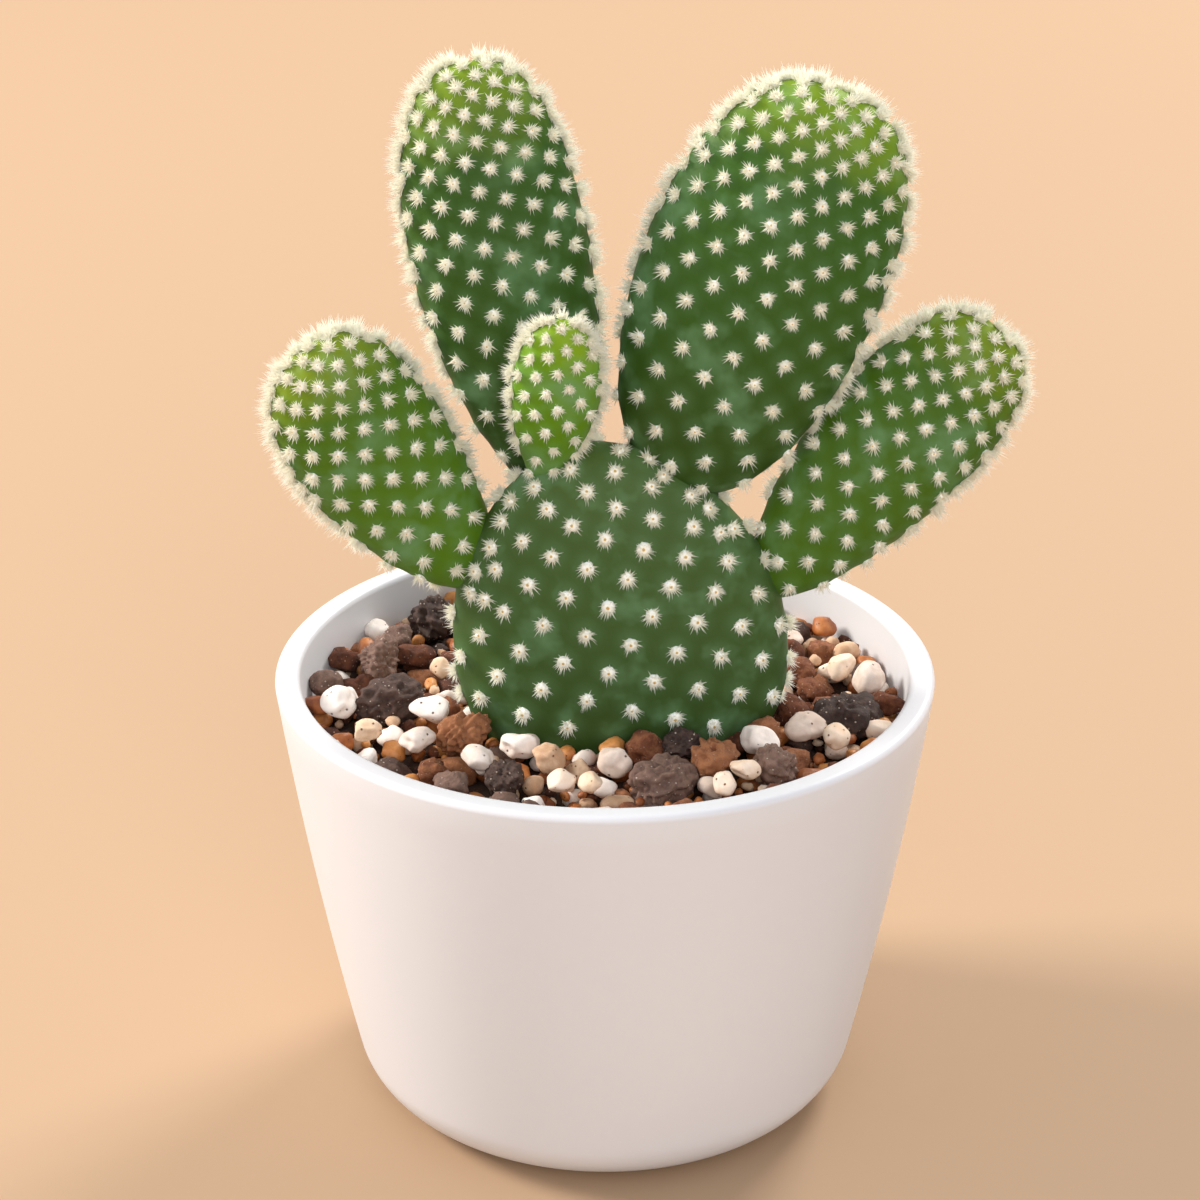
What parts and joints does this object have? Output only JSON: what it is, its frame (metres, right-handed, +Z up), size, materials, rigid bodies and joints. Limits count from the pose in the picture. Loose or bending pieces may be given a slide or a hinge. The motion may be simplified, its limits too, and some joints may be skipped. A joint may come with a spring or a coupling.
{
  "type": "potted bunny ears cactus",
  "caption": "Small cactus of flat, densely tufted pads growing from one another, rooted in mixed gravel in a plain round white pot that tapers to its foot.",
  "frame": {"origin": "centre of the pot's flat foot, on the surface it stands on", "axes": "+Z up, the broad faces of the pads look towards -Y, +X to the right as seen from -Y"},
  "size_m": [0.101, 0.09, 0.1481],
  "materials": {
    "white_ceramic": "satin",
    "gravel_mix": "matte",
    "old_pad_skin": "matte",
    "pad_skin": "matte",
    "young_pad_skin": "matte",
    "bristles": "matte"
  },
  "bodies": {
    "root": {"pot": "white_ceramic", "soil": "gravel_mix", "base_pad": "old_pad_skin", "tall_left_pad": "pad_skin", "tall_right_pad": "pad_skin", "side_left_pad": "pad_skin", "side_right_pad": "pad_skin", "young_pad": "young_pad_skin"}
  },
  "joints": []
}
